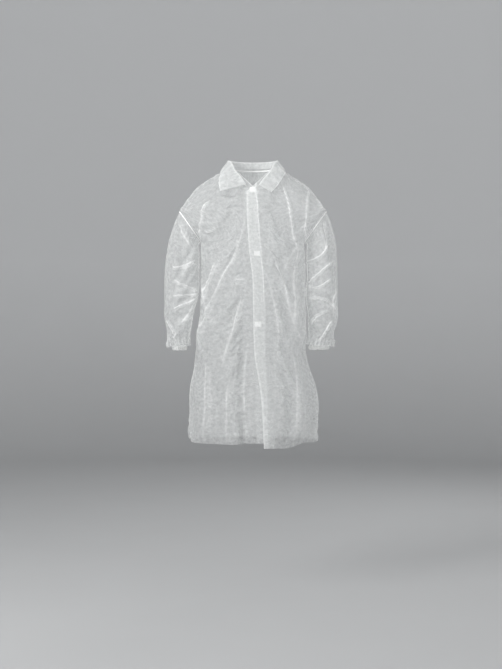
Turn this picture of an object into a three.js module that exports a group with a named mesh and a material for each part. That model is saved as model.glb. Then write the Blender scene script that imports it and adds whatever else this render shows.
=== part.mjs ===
// A disposable laboratory coat of thin nonwoven fabric, held open as if worn, with the arms hanging.
// Millimetres, +Z up. The front faces -Y and +X is the wearer's left. The origin is the middle of the
// neck, level with the inner ends of the shoulder seams.
import * as THREE from 'three';

// ---- driving dimensions ----
const CLOTH = 1.2;              // thickness that stands in for the thin fabric
const NECK_HALF = 74;           // half the width of the neck opening
const NECK_Z = 6;
const TIP = { x: 262, z: -150 };        // outer end of the shoulder line, top of the armhole
const PIT = { x: 184, z: -262 };        // bottom of the armhole
const ARMHOLE_HALF_DEPTH = 74;
const HEM_Z = { left: -1008, right: -990, back: -986 };
const ROUND = 2.4;              // exponent of the body's section, a little squarer than an ellipse
const FOLD_TOP = { x: 34, z: -130 };    // the line that each lower front swings about
const FOLD_FOOT = { x: 165, z: -1005 };
const FOLD_GAP = 5;             // half the space left along that line
const FACING_WIDTH = 40;
const CLOSURE = { width: 22, height: 19, thickness: 1.2 };
const CLOSURES = [{ x: -1, z: -81 }, { x: 14, z: -315 }, { x: 18, z: -567 }];
const CUFF_HEIGHT = 17;
const CUFF_ROLL = 8;

// Distances of the layers at the front edge, behind the outer face of the left front.
const LAYER = { leftFacing: 2.1, hook: 3.4, loop: 5.1, rightFront: 7.0, rightFacing: 9.0 };
const FACING_CLOTH = 0.8;

const FABRIC = { color: 0xdfe2df, roughness: 0.85, metalness: 0 };
const SEAM = { color: 0xeff1ef, roughness: 0.8, metalness: 0 };
const TAPE = { color: 0xfafafa, roughness: 0.7, metalness: 0 };
const ELASTIC = { color: 0xf0efe8, roughness: 0.75, metalness: 0 };

const coat = new THREE.Group();

// ---- small helpers ----
const clamp01 = (t) => Math.min(1, Math.max(0, t));
const smooth = (t) => clamp01(t) ** 2 * (3 - 2 * clamp01(t));
const mix = (a, b, t) => a + (b - a) * t;
const range = (n, from = 0, to = 1) => Array.from({ length: n + 1 }, (_, i) => mix(from, to, i / n));

// A smooth curve through a few [z, value] pairs that are listed from high z to low z.
function profile(pairs) {
  const curve = new THREE.CatmullRomCurve3(pairs.map(([z, v]) => new THREE.Vector3(z, v, 0)), false, 'centripetal');
  const table = curve.getPoints(pairs.length * 12);
  return (z) => {
    if (z >= table[0].x) return table[0].y;
    const i = table.findIndex((p) => p.x <= z);
    if (i < 0) return table[table.length - 1].y;
    const t = (table[i - 1].x - z) / (table[i - 1].x - table[i].x || 1);
    return mix(table[i - 1].y, table[i].y, t);
  };
}

// ---- the shape of the body ----
const frontDepth = profile([[6, 46], [-20, 62], [-66, 90], [-130, 122], [-200, 141], [-300, 151],
  [-450, 158], [-700, 165], [-1010, 172]]);
const backDepth = profile([[6, 60], [-20, 88], [-66, 116], [-130, 134], [-200, 144], [-300, 148],
  [-450, 144], [-700, 150], [-1010, 158]]);
const bodyHalf = profile([[-262, 184], [-300, 181], [-480, 182], [-600, 187], [-670, 191], [-720, 202],
  [-790, 226], [-850, 236], [-930, 232], [-1010, 219]]);
const shoulderHalf = profile([[NECK_Z, NECK_HALF], [-18, 130], [-42, 170], [-66, 202], [-95, 225],
  [-122, 245], [TIP.z, TIP.x]]);

const planeX = (z) => mix(PIT.x, TIP.x, (z - PIT.z) / (TIP.z - PIT.z));
const inArmhole = (z) => z > PIT.z && z < TIP.z;

// Half the body's width at a height: its side, its armhole edge or its shoulder line.
function halfWidth(z) {
  if (z >= TIP.z) return shoulderHalf(z);
  return inArmhole(z) ? planeX(z) : bodyHalf(z);
}

// How far the body's edge stands in front of (or behind) the side at a height: nothing except in the armhole.
function edgeDepth(z) {
  if (!inArmhole(z)) return 0;
  const t = (z - (TIP.z + PIT.z) / 2) / ((TIP.z - PIT.z) / 2);
  return ARMHOLE_HALF_DEPTH * Math.sqrt(Math.max(0, 1 - t * t));
}

// The depth of the body's outer face at a place: positive, for the front or the back.
function faceDepth(x, z, depthAt) {
  const b = edgeDepth(z);
  const xi = Math.min(1, Math.abs(x) / halfWidth(z));
  const ease = mix(1 / ROUND, 1, (b / ARMHOLE_HALF_DEPTH) ** 2);
  return b + (depthAt(z) - b) * (1 - xi ** ROUND) ** ease;
}
const frontY = (x, z) => -faceDepth(x, z, frontDepth);
const backY = (x, z) => faceDepth(x, z, backDepth);

// The right front passes under the left one near the middle.
const UNDERLAP = { from: -62, to: -32 };
const rightFrontY = (x, z) => frontY(x, z)
  + LAYER.rightFront * smooth((x - UNDERLAP.from) / (UNDERLAP.to - UNDERLAP.from));

// ---- solids from grids of points ----
function meshFrom(name, vertices, faces, look) {
  const volume = faces.reduce((sum, [a, b, c]) => sum
    + vertices[a].dot(vertices[b].clone().cross(vertices[c])), 0);
  const turned = volume < 0 ? faces.map(([a, b, c]) => [a, c, b]) : faces;
  const geometry = new THREE.BufferGeometry();
  geometry.setAttribute('position', new THREE.Float32BufferAttribute(vertices.flatMap((p) => p.toArray()), 3));
  geometry.setIndex(turned.flat());
  geometry.computeVertexNormals();
  const mesh = new THREE.Mesh(geometry, new THREE.MeshStandardMaterial(look));
  mesh.name = name;
  coat.add(mesh);
  return mesh;
}

// The closed solid between two grids of points.
function sheetBetween(name, outer, inner, look, wrap = false) {
  const rows = outer.length;
  const cols = outer[0].length;
  const vertices = [...outer.flat(), ...inner.flat()];
  const id = (layer, r, c) => layer * rows * cols + r * cols + (c % cols);
  const faces = [];
  const quad = (a, b, c, d) => faces.push([a, b, c], [a, c, d]);
  const lastCol = wrap ? cols : cols - 1;
  for (let r = 0; r < rows - 1; r++) {
    for (let c = 0; c < lastCol; c++) {
      quad(id(0, r, c), id(0, r, c + 1), id(0, r + 1, c + 1), id(0, r + 1, c));
      quad(id(1, r, c), id(1, r + 1, c), id(1, r + 1, c + 1), id(1, r, c + 1));
    }
  }
  for (let c = 0; c < lastCol; c++) {
    quad(id(0, 0, c), id(1, 0, c), id(1, 0, c + 1), id(0, 0, c + 1));
    quad(id(0, rows - 1, c), id(0, rows - 1, c + 1), id(1, rows - 1, c + 1), id(1, rows - 1, c));
  }
  if (!wrap) {
    for (let r = 0; r < rows - 1; r++) {
      quad(id(0, r, 0), id(0, r + 1, 0), id(1, r + 1, 0), id(1, r, 0));
      quad(id(0, r, cols - 1), id(1, r, cols - 1), id(1, r + 1, cols - 1), id(0, r + 1, cols - 1));
    }
  }
  meshFrom(name, vertices, faces, look);
}

// A bar whose section is carried along a path: sections is a list of equal polygons.
function bar(name, sections, look, closed = false) {
  const corners = sections[0].length;
  const count = sections.length;
  const vertices = sections.flat();
  const id = (s, k) => (s % count) * corners + (k % corners);
  const faces = [];
  for (let s = 0; s < (closed ? count : count - 1); s++) {
    for (let k = 0; k < corners; k++) {
      faces.push([id(s, k), id(s, k + 1), id(s + 1, k + 1)], [id(s, k), id(s + 1, k + 1), id(s + 1, k)]);
    }
  }
  if (!closed) {
    for (let k = 1; k < corners - 1; k++) {
      faces.push([id(0, 0), id(0, k + 1), id(0, k)]);
      faces.push([id(count - 1, 0), id(count - 1, k), id(count - 1, k + 1)]);
    }
  }
  meshFrom(name, vertices, faces, look);
}

// A rectangular section at a point, spanned by two directions.
function rectangle(p, across, halfAcross, up, halfUp) {
  return [[-1, -1], [1, -1], [1, 1], [-1, 1]].map(([a, u]) => p.clone()
    .addScaledVector(across, a * halfAcross).addScaledVector(up, u * halfUp));
}

// ---- the panels of the body ----
// The outward normal of a face given by its depth function, from the slopes on either side of a place.
function faceNormal(faceY, facing, x, z) {
  const step = 1.5;
  const slopeX = (faceY(x + step, z) - faceY(x - step, z)) / (2 * step);
  const slopeZ = (faceY(x, z + step) - faceY(x, z - step)) / (2 * step);
  return new THREE.Vector3(-slopeX, 1, -slopeZ).multiplyScalar(facing).normalize();
}

// A panel through rows of places [x, z]: its outer face lies on the body, and its thickness goes inwards.
const SEAM_GAP = 0.8;
function panel(name, rows, faceY, facing) {
  const outer = rows.map((row) => row.map(([x, z]) => new THREE.Vector3(x,
    facing * Math.max(SEAM_GAP, facing * faceY(x, z)), z)));
  const inner = outer.map((row) => row.map((p) => {
    const q = p.clone().addScaledVector(faceNormal(faceY, facing, p.x, p.z), -CLOTH);
    q.y = facing * Math.max(SEAM_GAP, facing * q.y);
    return q;
  }));
  sheetBetween(name, outer, inner, FABRIC);
}

// Places across half the body at a height, from x = start to the side, closer together where it rounds.
// The stops are distances from the middle where the row needs a place of its own.
function rowToSide(z, start, side, columns, stops = []) {
  const w = halfWidth(z);
  const first = stops.reduce((xs, stop) => [...xs, Math.max(stop, xs.at(-1) + 1.5)], [start]);
  const last = first.pop();
  const signed = Math.max(-0.9, last / w);
  const from = Math.asin(Math.sign(signed) * Math.abs(signed) ** (ROUND / 2));
  const rest = range(columns, from, Math.PI / 2).map((a) => {
    const s = Math.sin(a);
    return w * Math.sign(s) * Math.abs(s) ** (2 / ROUND);
  });
  return [...first, ...rest].map((x) => [side * x, z]);
}

const foldX = (z) => mix(FOLD_TOP.x, FOLD_FOOT.x, (FOLD_TOP.z - z) / (FOLD_TOP.z - FOLD_FOOT.z));

// The front edges: the left front laps over the right one by 30 to 40 mm.
const leftEdge = profile([[-89, -23], [-209, -20], [-300, -14], [-400, -2], [-508, 0], [-684, 6],
  [-756, 18], [-830, 28], [-1010, 38]]);
const rightEdge = profile([[-77, 11], [-209, 20], [-300, 27], [-400, 35], [-508, 40], [-684, 44],
  [-830, 50], [-1010, 54]]);
const leftStart = (z) => (z > -89 ? -23 + (z + 89) : leftEdge(z));
const rightStart = (z) => (z > -77 ? 11 - (z + 77) : rightEdge(z));

const shoulderRows = [-1, -5, -12, -22, -34, -48, -58, -68];
const notchRows = [-74, -80, -86, -92, -98, -105, -113, -122];
const armRows = [-124.5, -135, -150, -158, -178, -206, -234, -254, -262];
const skirtRows = (hem, count) => range(count, -300, hem);

function frontUpper(name, side, hem) {
  const start = side > 0 ? leftStart : (z) => -rightStart(z);
  const rows = [...shoulderRows, ...notchRows, ...armRows, ...skirtRows(hem, 10)].map((z) => {
    const from = z > FOLD_TOP.z + FOLD_GAP + 1 ? start(z) : foldX(z) + FOLD_GAP;
    return rowToSide(z, from, side, 7, [-UNDERLAP.to, -UNDERLAP.from]);
  });
  panel(name, rows, side > 0 ? frontY : rightFrontY, -1);
}

const flapHeights = (hem) => range(15, FOLD_TOP.z, hem);

function frontFlap(name, side, hem) {
  const edge = side > 0 ? leftEdge : (z) => -rightEdge(z);
  const rows = flapHeights(hem).map((z) => range(6, edge(z), foldX(z) - FOLD_GAP).map((x) => [side * x, z]));
  panel(name, rows, side > 0 ? frontY : rightFrontY, -1);
}

function backPanel() {
  const rows = [...shoulderRows, -86, -105, ...armRows, ...skirtRows(HEM_Z.back, 10)].map((z) => {
    const half = rowToSide(z, 0, 1, 9);
    return [...half.slice(1).reverse().map(([x]) => [-x, z]), ...half];
  });
  panel('back_panel', rows, backY, 1);
}

// A strip that lies a set distance behind the outer face of the fronts, between two edges.
function layerStrip(name, look, heights, xFrom, xTo, depth, thickness, columns = 2) {
  const layer = (offset) => heights.map((z) => range(columns, xFrom(z), xTo(z))
    .map((x) => new THREE.Vector3(x, frontY(x, z) + offset, z)));
  sheetBetween(name, layer(depth), layer(depth + thickness), look);
}

function facings() {
  const tops = range(5, FOLD_TOP.z + FOLD_GAP + 4, -92);
  const edgeIn = 0.6;
  const lower = (hem) => flapHeights(hem).map((z, i, all) => (i === all.length - 1 ? z + 1 : z));
  const left = [(z) => leftEdge(z) + edgeIn, (z) => leftEdge(z) + Math.min(FACING_WIDTH, foldX(z) - leftEdge(z) - 8)];
  const right = [(z) => rightEdge(z) - Math.min(FACING_WIDTH, rightEdge(z) + foldX(z) - 8), (z) => rightEdge(z) - edgeIn];
  layerStrip('left_facing_top', FABRIC, tops, left[0], left[1], LAYER.leftFacing, FACING_CLOTH);
  layerStrip('right_facing_top', FABRIC, tops, right[0], right[1], LAYER.rightFacing, FACING_CLOTH);
  layerStrip('left_facing', FABRIC, lower(HEM_Z.left), left[0], left[1], LAYER.leftFacing, FACING_CLOTH);
  layerStrip('right_facing', FABRIC, lower(HEM_Z.right), right[0], right[1], LAYER.rightFacing, FACING_CLOTH);
}

function closures() {
  CLOSURES.forEach(({ x, z }, i) => {
    const heights = range(2, z + CLOSURE.height / 2, z - CLOSURE.height / 2);
    const from = () => x - CLOSURE.width / 2;
    const to = () => x + CLOSURE.width / 2;
    layerStrip(`hook_square_${i + 1}`, TAPE, heights, from, to, LAYER.hook, CLOSURE.thickness);
    layerStrip(`loop_square_${i + 1}`, TAPE, heights, from, to, LAYER.loop, CLOSURE.thickness);
  });
}

// ---- sleeves ----
// Each station is a ring of the sleeve: its inner and outer points seen from the front, the place of
// its middle in depth, and half its depth. The first ring lies in the armhole's plane.
const SLEEVES = {
  left: [
    { in: [PIT.x + 2.6, PIT.z - 1.8], out: [TIP.x + 2.6, TIP.z - 1.8], y: 0, half: ARMHOLE_HALF_DEPTH },
    { in: [197, -286], out: [289, -222], y: 0, half: 74 },
    { in: [201, -340], out: [298, -290], y: -2, half: 73 },
    { in: [203, -405], out: [301, -375], y: -5, half: 72 },
    { in: [200, -470], out: [303, -450], y: -9, half: 69 },
    { in: [205, -530], out: [301, -520], y: -14, half: 64 },
    { in: [208, -585], out: [294, -580], y: -20, half: 56 },
    { in: [203, -622], out: [284, -622], y: -25, half: 42 },
    { in: [200, -640], out: [273, -640], y: -28, half: 30 },
  ],
  right: [
    { in: [PIT.x + 2.6, PIT.z - 1.8], out: [TIP.x + 2.6, TIP.z - 1.8], y: 0, half: ARMHOLE_HALF_DEPTH },
    { in: [197, -286], out: [294, -228], y: 0, half: 74 },
    { in: [201, -340], out: [308, -300], y: -2, half: 73 },
    { in: [203, -405], out: [315, -378], y: -5, half: 72 },
    { in: [206, -470], out: [317, -455], y: -9, half: 69 },
    { in: [219, -530], out: [316, -522], y: -14, half: 64 },
    { in: [229, -585], out: [306, -582], y: -20, half: 58 },
    { in: [234, -622], out: [302, -624], y: -26, half: 46 },
    { in: [237, -642], out: [289, -642], y: -30, half: 38 },
  ],
};

function sleeveRing(side, station, columns, inset = 0) {
  const inner = new THREE.Vector3(side * station.in[0], station.y, station.in[1]);
  const outer = new THREE.Vector3(side * station.out[0], station.y, station.out[1]);
  const centre = inner.clone().add(outer).multiplyScalar(0.5);
  const across = outer.clone().sub(inner).normalize();
  const halfAcross = inner.distanceTo(outer) / 2 - inset;
  return range(columns, 0, 2 * Math.PI).slice(0, columns).map((a) => centre.clone()
    .addScaledVector(across, -Math.cos(a) * halfAcross)
    .add(new THREE.Vector3(0, Math.sin(a) * (station.half - inset), 0)));
}

function sleeve(name, side) {
  const stations = SLEEVES[name];
  const columns = 20;
  const outer = stations.map((station) => sleeveRing(side, station, columns));
  const inner = stations.map((station) => sleeveRing(side, station, columns, CLOTH));
  sheetBetween(`${name}_sleeve`, outer, inner, FABRIC, true);

  // The underarm seam is a rib inside the sleeve, along the rings' inner points.
  const depthAxis = new THREE.Vector3(0, 1, 0);
  const rib = stations.map(({ in: [x0, z0], out: [x1, z1], y }) => {
    const across = new THREE.Vector3(side * (x1 - x0), 0, z1 - z0).normalize();
    const p = new THREE.Vector3(side * x0, y, z0).addScaledVector(across, CLOTH + 1.6);
    return rectangle(p, depthAxis, 1.6, across, 0.7);
  });
  bar(`${name}_sleeve_seam`, rib, SEAM);
}

// The armhole seam is a ridge all round the armhole, between the body and the sleeve.
function armholeSeam(name, side) {
  const normal = new THREE.Vector3(side * (TIP.z - PIT.z), 0, -(TIP.x - PIT.x)).normalize();
  const across = new THREE.Vector3(side * (TIP.x - PIT.x), 0, TIP.z - PIT.z).normalize();
  const centre = new THREE.Vector3(side * (TIP.x + PIT.x) / 2, 0, (TIP.z + PIT.z) / 2);
  const halfAcross = Math.hypot(TIP.x - PIT.x, TIP.z - PIT.z) / 2 - 3;
  const sections = range(24, 0, 2 * Math.PI).slice(0, 24).map((a) => {
    const radial = across.clone().multiplyScalar(Math.cos(a)).add(new THREE.Vector3(0, Math.sin(a), 0));
    const p = centre.clone().addScaledVector(across, Math.cos(a) * halfAcross)
      .add(new THREE.Vector3(0, Math.sin(a) * (ARMHOLE_HALF_DEPTH - 1), 0))
      .addScaledVector(normal, 1.5);
    return rectangle(p, radial, 1.8, normal, 0.5);
  });
  bar(`${name}_armhole_seam`, sections, SEAM, true);
}

// The elastic wrist: a casing of gathered fabric, open by a slit on its inner side, round a flat band.
function cuff(name, side) {
  const last = SLEEVES[name].at(-1);
  const centre = new THREE.Vector3(side * (last.in[0] + last.out[0]) / 2, last.y, last.in[1]);
  const halfX = (last.out[0] - last.in[0]) / 2;
  const at = (a, inward, down) => new THREE.Vector3(Math.cos(a) * (halfX - inward),
    Math.sin(a) * (last.half - inward), -down).add(centre);
  const top = 1.5;
  const foot = top + CUFF_HEIGHT;
  const slit = 2;
  const middle = (top + foot) / 2;
  const roll = [[0, top + 2], [0, foot - 2], [2, foot], [CUFF_ROLL, foot], [CUFF_ROLL, middle + slit],
    [CUFF_ROLL - CLOTH, middle + slit], [CUFF_ROLL - CLOTH, foot - CLOTH], [2.5, foot - CLOTH],
    [CLOTH, foot - 2.5], [CLOTH, top + 2.5], [2.5, top + CLOTH], [CUFF_ROLL - CLOTH, top + CLOTH],
    [CUFF_ROLL - CLOTH, middle - slit], [CUFF_ROLL, middle - slit], [CUFF_ROLL, top], [2, top]];
  const angles = range(16, 0, 2 * Math.PI).slice(0, 16);
  bar(`${name}_cuff_casing`, angles.map((a) => roll.map(([i, d]) => at(a, i, d))), FABRIC, true);
  const band = [[3, middle - 4], [4.5, middle - 4], [4.5, middle + 4], [3, middle + 4]];
  bar(`${name}_cuff_elastic`, angles.map((a) => band.map(([i, d]) => at(a, i, d))), ELASTIC, true);
}

// ---- seams of the body ----
function sideSeam(name, side) {
  const depthAxis = new THREE.Vector3(0, 1, 0);
  const sections = [-268, ...skirtRows(HEM_Z.back, 10)].map((z) => rectangle(
    new THREE.Vector3(side * (halfWidth(z) - CLOTH - 3.4), 0, z), depthAxis, 1.6, new THREE.Vector3(side, 0, 0), 0.7));
  bar(`${name}_side_seam`, sections, SEAM);
}

function shoulderSeam(name, side) {
  const depthAxis = new THREE.Vector3(0, 1, 0);
  const heights = [-2, -12, -22, -34, -48, -66, -89, -104, -124, -143];
  const sections = heights.map((z) => {
    const slope = new THREE.Vector3(shoulderHalf(z - 3) - shoulderHalf(z + 3), 0, -6).normalize();
    const up = new THREE.Vector3(-side * slope.z, 0, slope.x);
    const p = new THREE.Vector3(side * shoulderHalf(z), 0, z).addScaledVector(up, -CLOTH - 2.4);
    return rectangle(p, depthAxis, 1.6, up, 0.7);
  });
  bar(`${name}_shoulder_seam`, sections, SEAM);
}

// ---- collar ----
// Three lines carry it: the neck seam, the fold at its top, and the free edge of the turned-down leaf.
// Each runs from the front end to the middle of the back, for one side.
const onFront = (side, [x, z], proud) => new THREE.Vector3(side * x, frontY(side * x, z) - proud, z);

function collarLines(side) {
  const front = side > 0
    ? { seam: [18, -70], tip: [66, -92], edge: [98, -52] }
    : { seam: [22, -68], tip: [118, -86], edge: [124, -46] };
  const vEdge = [front.seam, [34, -46], [50, -26]];
  const seam = [...vEdge.map((p) => onFront(side, p, 6)), new THREE.Vector3(side * 68, -28, 8),
    new THREE.Vector3(side * 73, -14, 11),
    new THREE.Vector3(side * 77, 0, 13), new THREE.Vector3(side * 66, 36, 14),
    new THREE.Vector3(side * 36, 60, 14), new THREE.Vector3(0, 67, 14)];
  const fold = [...vEdge.map(([x, z], i) => onFront(side, [x + 3 + 5 * i, z + 4 + 6 * i], 8)),
    new THREE.Vector3(side * 78, -38, 22), new THREE.Vector3(side * 87, -20, 31),
    new THREE.Vector3(side * 91, 0, 35),
    new THREE.Vector3(side * 78, 40, 37), new THREE.Vector3(side * 43, 66, 37), new THREE.Vector3(0, 74, 37)];
  const edge = [onFront(side, front.tip, 10), onFront(side, [mix(front.tip[0], front.edge[0], 0.6), -70], 13),
    onFront(side, front.edge, 14), new THREE.Vector3(side * 126, -52, -10),
    new THREE.Vector3(side * 131, -28, -2),
    new THREE.Vector3(side * 134, 4, 2), new THREE.Vector3(side * 112, 66, -4),
    new THREE.Vector3(side * 58, 114, -18), new THREE.Vector3(0, 128, -24)];
  return [seam, fold, edge];
}

const collarPath = (k) => {
  const left = collarLines(1)[k];
  const right = collarLines(-1)[k].slice(0, -1).reverse();
  return new THREE.CatmullRomCurve3([...left, ...right], false, 'centripetal');
};

function collar() {
  const steps = 32;
  const [seam, fold, edge] = [0, 1, 2].map((k) => range(steps).map((u) => collarPath(k).getPoint(u)));
  const up = new THREE.Vector3(0, 0, 1);
  const outer = [[], [], [], [], [], []];
  const inner = [[], [], [], [], [], []];
  seam.forEach((s, i) => {
    const f = fold[i];
    const e = edge[i];
    const fall = e.clone().sub(f);
    const turn = new THREE.Vector3(fall.x, fall.y, 0).normalize();
    const middle = f.clone().lerp(e, 0.5).addScaledVector(up, 4);
    // From the foot up the stand, over the fold and down to the free edge: first the hidden face ...
    [s, f, f.clone().addScaledVector(turn, 2), f.clone().addScaledVector(turn, 3.4).addScaledVector(up, -0.4),
      middle, e].forEach((p, k) => inner[k].push(p));
    // ... then the face that shows.
    [s.clone().addScaledVector(turn, -CLOTH), f.clone().addScaledVector(turn, -CLOTH).addScaledVector(up, 1),
      f.clone().addScaledVector(turn, 2).addScaledVector(up, 1.8),
      f.clone().addScaledVector(turn, 5).addScaledVector(up, 1), middle.clone().addScaledVector(up, CLOTH),
      e.clone().addScaledVector(up, CLOTH).addScaledVector(turn, 0.4)].forEach((p, k) => outer[k].push(p));
  });
  sheetBetween('collar', outer, inner, FABRIC);
}

// The seam that joins the collar to the body lies inside the neck opening.
function neckSeam() {
  const half = (side, faceY) => [[24, -64], [38, -48], [54, -26]].map(([x, z]) => new THREE.Vector3(
    side * x, faceY(side * x, z) + 5, z - 3)).concat([new THREE.Vector3(side * 66, -18, -2),
    new THREE.Vector3(side * 69, 0, 2), new THREE.Vector3(side * 58, 30, 3), new THREE.Vector3(side * 32, 48, 3)]);
  const points = [...half(1, frontY), new THREE.Vector3(0, 54, 3), ...half(-1, rightFrontY).reverse()];
  const path = new THREE.CatmullRomCurve3(points, false, 'centripetal');
  const sections = range(36).map((u) => {
    const p = path.getPoint(u);
    const radial = new THREE.Vector3(p.x, p.y, 0).normalize();
    return rectangle(p, radial, 0.7, new THREE.Vector3(0, 0, 1), 1.8);
  });
  bar('neck_seam', sections, SEAM);
}

// ---- the whole coat ----
backPanel();
frontUpper('left_front_upper', 1, HEM_Z.left);
frontUpper('right_front_upper', -1, HEM_Z.right);
frontFlap('left_front_flap', 1, HEM_Z.left);
frontFlap('right_front_flap', -1, HEM_Z.right);
facings();
closures();
collar();
neckSeam();
for (const [name, side] of [['left', 1], ['right', -1]]) {
  sleeve(name, side);
  armholeSeam(name, side);
  cuff(name, side);
  sideSeam(name, side);
  shoulderSeam(name, side);
}

export default coat;
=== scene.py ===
# %% [markdown]
# A disposable lab coat, made of very thin white nonwoven cloth. The coat was first made as a
# CAD assembly. Here every cloth piece is made again as a single thin surface with folds,
# gathers and seams, in the same frame: front towards -Y, the wearer's left towards +X, metres.

import bpy
import numpy as np
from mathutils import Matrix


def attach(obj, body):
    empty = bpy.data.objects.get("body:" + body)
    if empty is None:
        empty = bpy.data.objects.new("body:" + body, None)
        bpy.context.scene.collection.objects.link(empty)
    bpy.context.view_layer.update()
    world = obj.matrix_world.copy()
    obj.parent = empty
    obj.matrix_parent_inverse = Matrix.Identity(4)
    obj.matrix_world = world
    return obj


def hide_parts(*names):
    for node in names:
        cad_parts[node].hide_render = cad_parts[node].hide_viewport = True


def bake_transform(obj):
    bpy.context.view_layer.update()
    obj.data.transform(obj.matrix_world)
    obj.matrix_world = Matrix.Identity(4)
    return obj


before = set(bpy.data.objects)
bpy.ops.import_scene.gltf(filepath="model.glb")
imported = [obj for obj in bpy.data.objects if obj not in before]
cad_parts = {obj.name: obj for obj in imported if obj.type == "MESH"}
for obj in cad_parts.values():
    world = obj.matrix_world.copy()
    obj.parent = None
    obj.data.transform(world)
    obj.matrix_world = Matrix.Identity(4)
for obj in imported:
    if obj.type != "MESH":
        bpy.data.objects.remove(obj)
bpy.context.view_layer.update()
MM = 0.001
TURN = 2 * np.pi

# %% [markdown]
# The camera comes first, because everything after it is judged through it. It stands level,
# at the height of the middle of the view, straight in front of the coat.

# %% Camera
scene = bpy.context.scene
scene.view_settings.view_transform = "Standard"
CAMERA_PLACE = (-0.007, -4.6, -0.603)
VIEW_HEIGHT = 2.408
OBJECT_DISTANCE = 4.5
SENSOR = 36.0
camera_data = bpy.data.cameras.new("coat_camera")
camera_data.sensor_width = SENSOR
camera_data.lens = SENSOR * OBJECT_DISTANCE / VIEW_HEIGHT
camera = bpy.data.objects.new("coat_camera", camera_data)
camera.location = CAMERA_PLACE
camera.rotation_euler = (np.pi / 2, 0, 0)
scene.collection.objects.link(camera)
scene.camera = camera
print("lens", round(camera_data.lens, 1), "mm")

# %% [markdown]
# Cloth shapes are smooth, so each is described by a few measured points with a curve through
# them. A centripetal Catmull-Rom curve passes through every point and doesn't overshoot.

# %% Curves through measured points
def curve_through(points, count):
    """Centripetal Catmull-Rom: between two neighbours it is a blend of straight lines, whose
    knots are spaced by the square root of the distance from point to point."""
    p = np.asarray(points, float)
    p = np.vstack([2 * p[0] - p[1], p, 2 * p[-1] - p[-2]])
    knots = np.concatenate([[0], np.cumsum(np.sqrt(np.linalg.norm(np.diff(p, axis=0), axis=1)))])
    t = np.linspace(knots[1], knots[-2], count)
    i = np.clip(np.searchsorted(knots, t, side="right") - 1, 1, len(p) - 3)
    t0, t1, t2, t3 = (knots[i + k] for k in (-1, 0, 1, 2))
    p0, p1, p2, p3 = (p[i + k] for k in (-1, 0, 1, 2))

    def between(a, b, start, end):
        return a + (b - a) * ((t - start) / (end - start))[:, None]

    a1, a2, a3 = between(p0, p1, t0, t1), between(p1, p2, t1, t2), between(p2, p3, t2, t3)
    b1, b2 = between(a1, a2, t0, t2), between(a2, a3, t1, t3)
    return between(b1, b2, t1, t2)


def by_height(points):
    """A measure looked up by height: the curve through (height, measure), heights falling."""
    curve = curve_through(points, 600)[::-1]
    return lambda z: np.interp(z, curve[:, 0], curve[:, 1])


def smooth(t):
    """Smoothstep: 0 below 0, 1 above 1, and 3t² - 2t³ between."""
    t = np.clip(t, 0, 1)
    return t * t * (3 - 2 * t)


# %% [markdown]
# The body of the coat hangs like a soft, flattened tube. Its plan is a superellipse, whose half
# width and whose depth to the front and back change with height. At the armhole the two
# faces stand apart by the armhole's own round opening. All of these are the CAD's measures.

# %% The body's measures, in millimetres
TIP_X, TIP_Z = 262, -150      # the armhole's outer point, at the end of the shoulder
PIT_X, PIT_Z = 184, -262      # its lowest point, under the arm
V_LEFT, V_RIGHT = (-23, -89), (11, -77)     # where each front's V neck meets its closing edge
ARMHOLE_DEPTH, ROUNDNESS = 74, 2.4
HEM_LEFT, HEM_RIGHT, HEM_BACK = -1008, -990, -986
front_depth = by_height([[6, 46], [-20, 62], [-66, 90], [-130, 122], [-200, 141], [-300, 151],
                         [-450, 158], [-700, 165], [-1010, 172]])
back_depth = by_height([[6, 60], [-20, 88], [-66, 116], [-130, 134], [-200, 144], [-300, 148],
                        [-450, 144], [-700, 150], [-1010, 158]])
body_half = by_height([[-262, 184], [-300, 181], [-480, 182], [-600, 187], [-670, 191],
                       [-720, 202], [-790, 226], [-850, 236], [-930, 232], [-1010, 219]])
shoulder_half = by_height([[6, 74], [-18, 130], [-42, 170], [-66, 202], [-95, 225],
                           [-122, 245], [-150, 262]])
left_edge = by_height([[-89, -23], [-209, -20], [-300, -14], [-400, -2], [-508, 0],
                       [-684, 6], [-756, 18], [-830, 28], [-1010, 38]])
right_edge = by_height([[-77, 11], [-209, 20], [-300, 27], [-400, 35], [-508, 40],
                        [-684, 44], [-830, 50], [-1010, 54]])


def half_width(z):
    """Shoulder line above the armhole, the armhole's slanting plane, then the body's side."""
    plane = PIT_X + (TIP_X - PIT_X) * (z - PIT_Z) / (TIP_Z - PIT_Z)
    return np.where(z >= TIP_Z, shoulder_half(z), np.where(z > PIT_Z, plane, body_half(z)))


def edge_depth(z):
    """Half the armhole's opening: depth times the square root of 1 minus height ratio squared."""
    middle, reach = (TIP_Z + PIT_Z) / 2, (TIP_Z - PIT_Z) / 2
    return ARMHOLE_DEPTH * np.sqrt(np.clip(1 - ((z - middle) / reach) ** 2, 0, 1))


def face_depth(x, z, depth):
    """Superellipse: edge + (depth - edge) times (1 - |x / half width| ^ 2.4) ^ an easing."""
    edge = edge_depth(z)
    across = np.minimum(1, np.abs(x) / half_width(z))
    ease = 1 / ROUNDNESS + (1 - 1 / ROUNDNESS) * (edge / ARMHOLE_DEPTH) ** 2
    return edge + (depth(z) - edge) * (1 - across ** ROUNDNESS) ** ease


def front_y(x, z):
    """The front face's place along y, which is negative."""
    return -face_depth(x, z, front_depth)


def left_start(z):
    """The left front's free edge; above the first closure it slants off as the V neck."""
    x, foot = V_LEFT
    return np.where(z > foot, x + (z - foot), left_edge(z))


def right_start(z):
    """The same for the right front, whose V neck slants the other way."""
    x, foot = V_RIGHT
    return np.where(z > foot, x - (z - foot), right_edge(z))


print("chest", 2 * half_width(-300), "mm wide, hem", 2 * half_width(-990), "mm")

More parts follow.
